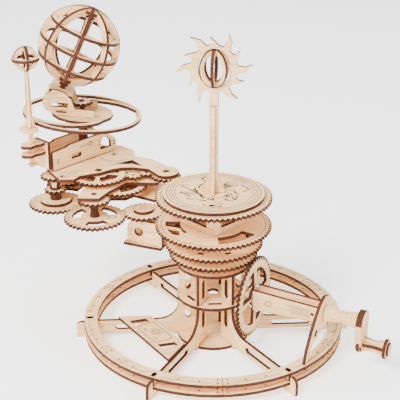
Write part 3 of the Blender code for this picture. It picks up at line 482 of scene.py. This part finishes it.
# %% [markdown]
# ## Engraving
# The laser also draws: with less power it only scorches a line. Here each line is a ribbon a few
# hundredths of a millimetre proud of the sheet, so it stays sharp from near and far. Painting the
# lines in a material would need a picture or a long chain of nodes for every piece.

# %% Ribbons, dots and loops
LINE_HIGH = 0.05
LINE_WIDER = 1.45


def ribbon(mesh, points, width, place, closed=False):
    """A flat line through points, in millimetres, lying on the plane of a matrix."""
    rows = []
    count = len(points)
    for i, (x, y) in enumerate(points):
        before = points[i - 1] if i or closed else points[i]
        after = points[(i + 1) % count] if i + 1 < count or closed else points[i]
        along = Vector((after[0] - before[0], after[1] - before[1])).normalized()
        along *= width * LINE_WIDER / 2
        row = []
        for side, z in ((-1, 0.0), (1, 0.0), (1, LINE_HIGH), (-1, LINE_HIGH)):
            corner = Vector(((x + side * along.y) * MM, (y - side * along.x) * MM, z * MM))
            row.append(mesh.verts.new(place @ corner))
        rows.append(row)
    for one, other in zip(rows, rows[1:] + (rows[:1] if closed else [])):
        for k in range(4):
            mesh.faces.new((one[k], one[(k + 1) % 4], other[(k + 1) % 4], other[k]))
    if not closed:
        mesh.faces.new(rows[0][::-1])
        mesh.faces.new(rows[-1])


def ring_line(mesh, radius, width, place, x=0.0, y=0.0, sides=48, squash=1.0):
    ribbon(mesh, [(x + px, y + py * squash) for px, py in circle(radius, sides)], width, place, True)


def arc_line(mesh, radius, start, end, width, place, x=0.0, y=0.0, steps=12):
    angles = [math.radians(start + (end - start) * i / steps) for i in range(steps + 1)]
    ribbon(mesh, [(x + radius * math.cos(a), y + radius * math.sin(a)) for a in angles], width, place)


def dot(mesh, x, y, radius, place, sides=10):
    sheet(mesh, circle(radius, sides, 0.0, x, y), (), 0.0, LINE_HIGH, place)


def spot(angle, radius):
    return radius * math.cos(math.radians(angle)), radius * math.sin(math.radians(angle))


def level(node, up=0.0):
    """The plane of a level sheet's top, with the object's own directions."""
    return Matrix.Translation((0, 0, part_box(node)[1][2] + up))


# %% [markdown]
# ## The dial
# The dial is a star chart. Its rim has a plain band with a scale, and inside it stars are joined
# by straight lines. The stars here are scattered by a seeded draw, so they are a chart of no real
# sky.

# %% The dial's scale
TICK_R = 40.4
MARK_R = 38.6
dial = bmesh.new()
dial_top = level("dial_face")
for radius, width in ((43.4, 0.55), (40.6, 0.35), (35.8, 0.35)):
    ring_line(dial, radius, width, dial_top, sides=96)
for i in range(72):
    length = 3.2 if i % 6 == 0 else 1.5
    ribbon(dial, [spot(i * 5, TICK_R), spot(i * 5, TICK_R - length)], 0.35, dial_top)
STAR_SEED = 11
draw = random.Random(STAR_SEED)
for i in range(12):
    for k in range(9):
        angle = i * 30 + 5 + k * 2.5
        mark = draw.choice((0.7, 1.1, 1.7))
        ribbon(dial, [spot(angle, MARK_R), spot(angle, MARK_R - mark)], 0.45, dial_top)
finished("dial_scale", dial, "dial_face", ENGRAVED)

# %% The stars
SKY_IN = 12.5
SKY_OUT = 34.5
stars = bmesh.new()
for group in range(20):
    angle = group * 18 + draw.uniform(-5, 5)
    radius = 17.5 if group % 2 else 27.5
    x, y = spot(angle, radius + draw.uniform(-2.5, 2.5))
    heading = draw.uniform(0, 360)
    path = [(x, y)]
    for step in range(draw.choice((4, 5, 6, 7))):
        heading += draw.uniform(-75, 75)
        for attempt in range(12):
            length = draw.uniform(2.2, 4.6)
            dx, dy = spot(heading, length)
            nx, ny = x + dx, y + dy
            if SKY_IN < math.hypot(nx, ny) < SKY_OUT:
                break
            heading += 47
        else:
            break
        x, y = nx, ny
        path.append((x, y))
    if len(path) > 1:
        ribbon(stars, path, 0.6, dial_top)
    for px, py in path:
        dot(stars, px, py, draw.choice((0.8, 1.0, 1.35)), dial_top)
for i in range(60):
    px, py = spot(draw.uniform(0, 360), draw.uniform(12, 34.5))
    dot(stars, px, py, draw.choice((0.35, 0.5)), dial_top, 6)
finished("dial_stars", stars, "dial_face", ENGRAVED)

# %% [markdown]
# ## Lines on the wheels
# A fine circle just inside the teeth shows the maker where the cut will run. The great wheels have
# it, and small wheels have one round their bearing.

# %% Circles on the wheels
def wheel_lines(name, node, joint, lines):
    place = level(node)
    x, y = joint_spot(joint) if joint else (0.0, 0.0)
    mesh = bmesh.new()
    for radius, width in lines:
        ring_line(mesh, radius, width, place, x, y, 72)
    finished(name, mesh, node, ENGRAVED)


wheel_lines("fixed_gear_line", "lower_fixed_gear", None, ((48.6, 0.45),))
wheel_lines("dial_gear_line", "dial_gear", None, ((49.0, 0.4),))

# %% [markdown]
# ## The knob
# The knob isn't turned from solid wood. Two curved sheets are slotted across each other and held
# between round plates, which is why the grip shows four ribs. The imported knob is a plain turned
# shape, and this stands in its place. The crank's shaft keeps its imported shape.

# %% Crossed sheets between plates
def spindle(name, node, axis_from, axis_to, profile, plates):
    """Two crossed sheets of one profile along a line, with round plates at given places."""
    start, end = Vector(axis_from), Vector(axis_to)
    along = (end - start).normalized()
    place = Matrix.Translation(start) @ Vector((0, 0, 1)).rotation_difference(along).to_matrix().to_4x4()
    mesh = bmesh.new()
    outline = [(r, z) for z, r in profile] + [(-r, z) for z, r in reversed(profile)]
    for turn in (45, 135):
        sheet(mesh, outline, (), -PLY / 2, PLY / 2, on_edge(place, turn))
    for z, r in plates:
        sheet(mesh, circle(r, 40), (), z, z + PLY, place)
    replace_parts(finished(name, mesh, node), node)


def ends(node):
    """The two ends of a piece along the crank's axis."""
    axis = Vector(joints["crank_spin"]["axis"])
    reach = [vertex.co.dot(axis) for vertex in nodes[node].data.vertices]
    low, high = min(reach), max(reach)
    centre = joints["knob_spin" if node == "crank_knob" else "crank_spin"]["pos_m"]
    foot = Vector(centre) - axis * Vector(centre).dot(axis)
    return foot + axis * low, foot + axis * high, (high - low) / MM


low_end, high_end, long = ends("crank_knob")
print("the knob is", round(long, 1), "mm long, and the shaft", round(ends("crank_shaft")[2], 1))
grip = [(PLY, 7.6), (PLY + 2, 6.6), (long / 2, 5.0), (long - PLY - 4, 6.6), (long - PLY - 2, 7.6)]
spindle("knob_grip", "crank_knob", low_end, high_end, grip,
        [(0.0, 8.6), (long - 2 * PLY + 1, 9.2), (long - PLY, 6.2)])

# %% [markdown]
# ## Marks on the base
# Each ring is cut in six segments, held together by pins, so its top shows the joints, two pins
# beside each one, and a pin between. A fine circle runs round near the outer edge.

# %% Joints and pins on the rings
RING_OUT = 123.1
RING_WIDTH = 12.3
FIRST_RIB = 3.5


def ring_marks(name, node):
    place = level(node)
    mesh = bmesh.new()
    middle_r = RING_OUT - RING_WIDTH / 2
    for i in range(6):
        rib = FIRST_RIB + i * 60
        joint = rib + 30
        arc_line(mesh, RING_OUT - 4.2, rib + 4, joint - 5, 0.35, place, steps=10)
        arc_line(mesh, RING_OUT - 4.2, joint + 5, rib + 56, 0.35, place, steps=10)
        inner, outer = RING_OUT - RING_WIDTH + 0.2, RING_OUT - 0.2
        ribbon(mesh, [spot(joint, inner), spot(joint, outer)], 0.45, place)
        for angle in (joint - 2.1, joint + 2.1):
            for r in (middle_r - 2.6, middle_r + 2.6):
                arc_line(mesh, r, angle - 0.35, angle + 0.35, 1.5, place, steps=1)
        for angle in (rib + 11, rib + 20, joint + 10, joint + 19):
            x, y = spot(angle, middle_r)
            dot(mesh, x, y, 1.05, place)
        for k in range(8):
            x, y = spot(rib, middle_r + 1)
            turn = k * 22.5
            dx, dy = spot(rib + turn, 2.4 if k % 2 else 1.7)
            ribbon(mesh, [(x - dx, y - dy), (x + dx, y + dy)], 0.9, place)
    finished(name, mesh, node, ENGRAVED)


ring_marks("upper_ring_marks", "base_ring_upper")
ring_marks("lower_ring_marks", "base_ring_lower")
print("rings marked")

# %% [markdown]
# ## Flat plates that stand or lean
# Marks on an upright or leaning plate need the plate's own plane. It is found from the plate's
# widest flat patch that looks towards the front, so nothing has to be measured by hand.

# %% The plane of a plate's front
def front_plane(node, looking=(0.0, -1.0, 0.35)):
    """A matrix on the widest face that looks a given way: x runs along it and z points out of it."""
    data = nodes[node].data
    best, chosen = 0.0, None
    for patch in patches(data):
        normal = data.polygons[patch[0]].normal
        area = sum(data.polygons[i].area for i in patch)
        if normal.dot(Vector(looking)) > 0.2 and area > best:
            best, chosen = area, patch
    normal = data.polygons[chosen[0]].normal.copy()
    points = [data.vertices[v].co for i in chosen for v in data.polygons[i].vertices]
    side = Vector((0, 0, 1)).cross(normal)
    if side.length < 0.2:
        side = Vector((1, 0, 0)) - normal * normal.x
    side.normalize()
    up = normal.cross(side)
    across = [p.dot(side) for p in points]
    upward = [p.dot(up) for p in points]
    centre = side * (min(across) + max(across)) / 2 + up * (min(upward) + max(upward)) / 2
    centre += normal * points[0].dot(normal)
    plane = Matrix((side, up, normal)).transposed().to_4x4()
    plane.translation = centre
    size = ((max(across) - min(across)) / MM, (max(upward) - min(upward)) / MM)
    return plane, size


def rounded(x0, y0, x1, y1, corner):
    points = []
    for cx, cy, start in ((x1 - corner, y1 - corner, 0), (x0 + corner, y1 - corner, 90),
                          (x0 + corner, y0 + corner, 180), (x1 - corner, y0 + corner, 270)):
        for turn in (0, 30, 60, 90):
            dx, dy = spot(start + turn, corner)
            points.append((cx + dx, cy + dy))
    return points


def small_planet(mesh, x, y, radius, place):
    """A planet with a ring, as a generic sign of the sky."""
    ring_line(mesh, radius, 0.35, place, x, y, 24)
    arc_line(mesh, radius * 0.55, 20, 160, 0.25, place, x, y - radius * 0.1, 6)
    for side in (-1, 1):
        near = (x + side * radius * 0.5, y + side * radius * 0.12)
        far = (x + side * radius * 1.8, y + side * radius * 0.5)
        ribbon(mesh, [far, near] if side < 0 else [near, far], 0.4, place)


# %% [markdown]
# ## The nameplate
# A plate lies on two legs of the base. A rounded frame holds a ringed planet with rays, and a row
# of short strokes runs along the outer side. There is no writing on it.

# %% The nameplate's frame and motif
NAMEPLATE_OUT = 65.4
NAMEPLATE_TURN = 210         # degrees round from the first rib
azimuth = FIRST_RIB + NAMEPLATE_TURN
x, y = spot(azimuth, NAMEPLATE_OUT)
plate_top = Matrix.Translation((x * MM, y * MM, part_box("nameplate")[1][2]))
plate_top = plate_top @ Matrix.Rotation(math.radians(azimuth - 270), 4, "Z")
sign = bmesh.new()
ribbon(sign, rounded(-19, -8.5, 16, 9.5, 3), 0.5, plate_top, True)
ring_line(sign, 4.4, 0.45, plate_top, -1.5, 1.5, 32)
small_planet(sign, -1.5, 1.5, 2.6, plate_top)
for i in range(9):
    dx, dy = spot(20 * i + 10, 6.2)
    ex, ey = spot(20 * i + 10, 7.4)
    ribbon(sign, [(-1.5 + dx, 0.6 + dy), (-1.5 + ex, 0.6 + ey)], 0.5, plate_top)
for side in (-1, 1):
    ribbon(sign, [(-1.5 + side * 6, -4.5), (-1.5 + side * 13, -4.5)], 0.5, plate_top)
    ribbon(sign, [(-1.5 + side * 7.5, -2.9), (-1.5 + side * 12, -2.9)], 0.4, plate_top)
for i in range(15):
    ribbon(sign, [(-22.5 + i * 3, -11.9), (-22.5 + i * 3, -10.6 + 0.6 * (i % 2))], 0.5, plate_top)
finished("nameplate_marks", sign, "nameplate", ENGRAVED)

# %% [markdown]
# ## The crank's housing
# Two cheeks cover the crank's shaft. Each carries a small planet at its inner end and a few long
# lines behind it, as if the planet moved. They are drawn on each cheek's own plane.

# %% A planet and lines of speed
for node in ("crank_housing_front", "crank_housing_back"):
    outward = (0, -1, 0.1) if node.endswith("front") else (0, 1, 0.1)
    plane, size = front_plane(node, outward)
    print(node, "is", [round(v, 1) for v in size], "mm")
    mesh = bmesh.new()
    head = -1 if node.endswith("front") else 1
    small_planet(mesh, head * 17, 0.0, 3.0, plane)
    for i in range(4):
        start, end = sorted((head * -(2 + i % 2 * 4), head * -24.0))
        ribbon(mesh, [(start, 3.0 - 2 * i), (end, 3.0 - 2 * i)], 0.35, plane)
    finished(node + "_marks", mesh, node, ENGRAVED)

# %% [markdown]
# ## The Moon's arm
# The arm's two cheeks are held by tabs, which show as short dark marks at their ends. In the middle
# is a crescent with a few strokes beside it.

# %% Marks on the Moon's arm
for node, outward in (("moon_arm_front", (0.6, -0.8, 0.1)), ("moon_arm_back", (-0.6, 0.8, 0.1))):
    plane, size = front_plane(node, outward)
    mesh = bmesh.new()
    ring_line(mesh, 2.2, 0.4, plane, 6, 4.5, 20)
    arc_line(mesh, 2.2, -70, 70, 0.4, plane, 4.9, 4.5, 6)
    for i in range(5):
        ribbon(mesh, [(-6 + i * 2.1, 3.2), (-6 + i * 2.1, 5.8 - (i % 2))], 0.45, plane)
    for side in (-1, 1):
        for k in range(2):
            x = side * (size[0] / 2 - 5)
            ribbon(mesh, [(x, -1 - k * 3), (x + 2.4, -1 - k * 3)], 0.9, plane)
    finished(node + "_marks", mesh, node, ENGRAVED)

# %% [markdown]
# ## The top plate of the arm
# Shafts end in this plate, so each end has a pin with a scorched circle round it. A maker would put
# a badge on it. Here it is an oval with a planet.

# %% Badge, pins and circles
arm_top = level("chassis_top_plate")
mesh = bmesh.new()
bx, by = -134.0, 42.0
ring_line(mesh, 10.5, 0.4, arm_top, bx, by, 48, 0.72)
small_planet(mesh, bx, by + 1.5, 2.8, arm_top)
for i in range(7):
    tick = bx - 5.4 + i * 1.8
    ribbon(mesh, [(tick, by - 4.4), (tick, by - 3.2 + 0.5 * (i % 2))], 0.4, arm_top)
pins = [(-110.0, 50.5), (-143.0, 34.0), (-150.0, 62.0), (-98.0, 92.0), (-120.0, 111.0)]
pins += [joint_spot("dial_pinion_spin"), joint_spot("moon_train_wheel_spin")]
for px, py in pins:
    ring_line(mesh, 3.4, 0.35, arm_top, px, py, 28)
for r in (13.5, 16.0):
    arc_line(mesh, r, 200, 330, 0.35, arm_top, -96, 88, 14)
for radius in (10.2, 12.4):
    ring_line(mesh, radius, 0.35, arm_top, *joint_spot("day_shaft_spin"), 48)
finished("arm_top_marks", mesh, "chassis_top_plate", ENGRAVED)
heads = bmesh.new()
for px, py in pins[:5]:
    sheet(heads, circle(1.5, 16, 0.0, px, py), (), 0.0, 0.6, arm_top)
finished("arm_pin_heads", heads, "chassis_top_plate", EDGE)

# %% [markdown]
# ## The wheels under the arm
# The first wheel has three fine circles round its shaft. The second has one inside its teeth and
# a sign of a gear, and the outer wheel has one circle and six small rings. They turn with their
# wheel, so each set rides on that wheel's body.

# %% Marks on the small wheels
wheel_lines("first_wheel_line", "first_wheel", "first_wheel_spin", ((2.2, 0.5), (4.2, 0.4), (7.6, 0.35)))
mesh = bmesh.new()
wheel_top = Matrix.Translation((0, 0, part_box("lower_fixed_gear")[1][2]))
x, y = joint_spot("second_wheel_spin")
sx, sy = spot(-12, 17.0)
ring_line(mesh, 3.4, 0.4, wheel_top, x + sx, y + sy, 24)
for k in range(8):
    dx, dy = spot(k * 45, 3.4)
    ex, ey = spot(k * 45, 4.7)
    ribbon(mesh, [(x + sx + dx, y + sy + dy), (x + sx + ex, y + sy + ey)], 0.7, wheel_top)
ring_line(mesh, 24.6, 0.35, wheel_top, x, y, 60)
finished("second_wheel_marks", mesh, "second_wheel", ENGRAVED)
mesh = bmesh.new()
x, y = joint_spot("outer_wheel_spin")
ring_line(mesh, 21.6, 0.35, wheel_top, x, y, 60)
for k in range(6):
    px, py = spot(k * 60, 18.2)
    ring_line(mesh, 1.2, 0.35, wheel_top, x + px, y + py, 14)
finished("outer_wheel_marks", mesh, "outer_wheel", ENGRAVED)

# %% [markdown]
# ## The disc under the globe
# The slanted ring that guides the Moon has a disc in its middle. Three arcs with one centre run
# round part of it, and twelve dots near its rim stand for the months.

# %% Arcs and dots on the disc
plane = front_plane("moon_guide_ring", (0, 0, 1))[0]
mesh = bmesh.new()
for radius, start, end in ((27.0, 150, 330), (23.5, 170, 310), (20.5, 185, 300)):
    arc_line(mesh, radius, start, end, 0.4, plane, steps=24)
for k in range(12):
    px, py = spot(k * 30, 27.8)
    dot(mesh, px, py, 0.45, plane, 8)
finished("guide_disc_marks", mesh, "moon_guide_ring", ENGRAVED)

# %% [markdown]
# ## Stage, light and camera
# A pale floor and broad, soft lights keep the wood's own colours. The camera has a long lens and
# looks a little down, so the upright plates stay straight.

# %% Floor
FLOOR_HALF = 6.0
FLOOR_Z = -0.0004


def pale_floor():
    mesh = bmesh.new()
    corners = []
    for x, y in ((-1, -1), (1, -1), (1, 1), (-1, 1)):
        corners.append(mesh.verts.new((x * FLOOR_HALF, y * FLOOR_HALF, FLOOR_Z)))
    mesh.faces.new(corners)
    data = bpy.data.meshes.new("floor")
    mesh.to_mesh(data)
    mesh.free()
    floor = bpy.data.objects.new("floor", data)
    bpy.context.scene.collection.objects.link(floor)
    made, tree, shader = new_material("pale_paper", 0.9)
    shader.inputs["Base Color"].default_value = (1.0, 1.0, 1.0, 1.0)
    shader.inputs["Emission Color"].default_value = (1.0, 1.0, 1.0, 1.0)
    shader.inputs["Emission Strength"].default_value = 0.9
    data.materials.append(made)
    return floor


pale_floor()


# %% Lights
def soft_light(name, place, target, size, watts):
    data = bpy.data.lights.new(name, "AREA")
    data.shape = "SQUARE"
    data.size = size
    data.energy = watts
    light = bpy.data.objects.new(name, data)
    bpy.context.scene.collection.objects.link(light)
    light.location = place
    light.rotation_euler = (Vector(target) - Vector(place)).to_track_quat("-Z", "Y").to_euler()
    return light


LIT_POINT = (0, 0, 0.12)
soft_light("key_light", (-0.9, -1.1, 1.5), LIT_POINT, 0.7, 80)
soft_light("fill_light", (1.3, -0.9, 0.9), LIT_POINT, 1.2, 8)
soft_light("top_light", (0.1, 0.5, 1.8), LIT_POINT, 1.2, 16)

world = bpy.data.worlds.new("studio")
bpy.context.scene.world = world
world.use_nodes = True
world.node_tree.nodes["Background"].inputs["Color"].default_value = (1.0, 1.0, 1.0, 1.0)
world.node_tree.nodes["Background"].inputs["Strength"].default_value = 1.35

# %% [markdown]
# ## The camera
# A long lens from a good distance keeps the base ring from bulging. The camera stands a little
# left of the Sun's axis and looks down by twenty-four degrees.

# %% Camera
SENSOR_WIDTH = 36.0
LONG_LENS = 96.42
LOOK_FROM = (-0.01248, -0.89869, 0.54003)
TILT_UP = 65.995             # degrees up from looking straight down
camera_data = bpy.data.cameras.new("camera")
camera_data.sensor_width = SENSOR_WIDTH
camera_data.lens = LONG_LENS
camera = bpy.data.objects.new("camera", camera_data)
bpy.context.scene.collection.objects.link(camera)
camera.location = LOOK_FROM
camera.rotation_euler = (math.radians(TILT_UP), 0.0, 0.0)
bpy.context.scene.camera = camera
print("camera at", [round(v, 3) for v in camera.location])
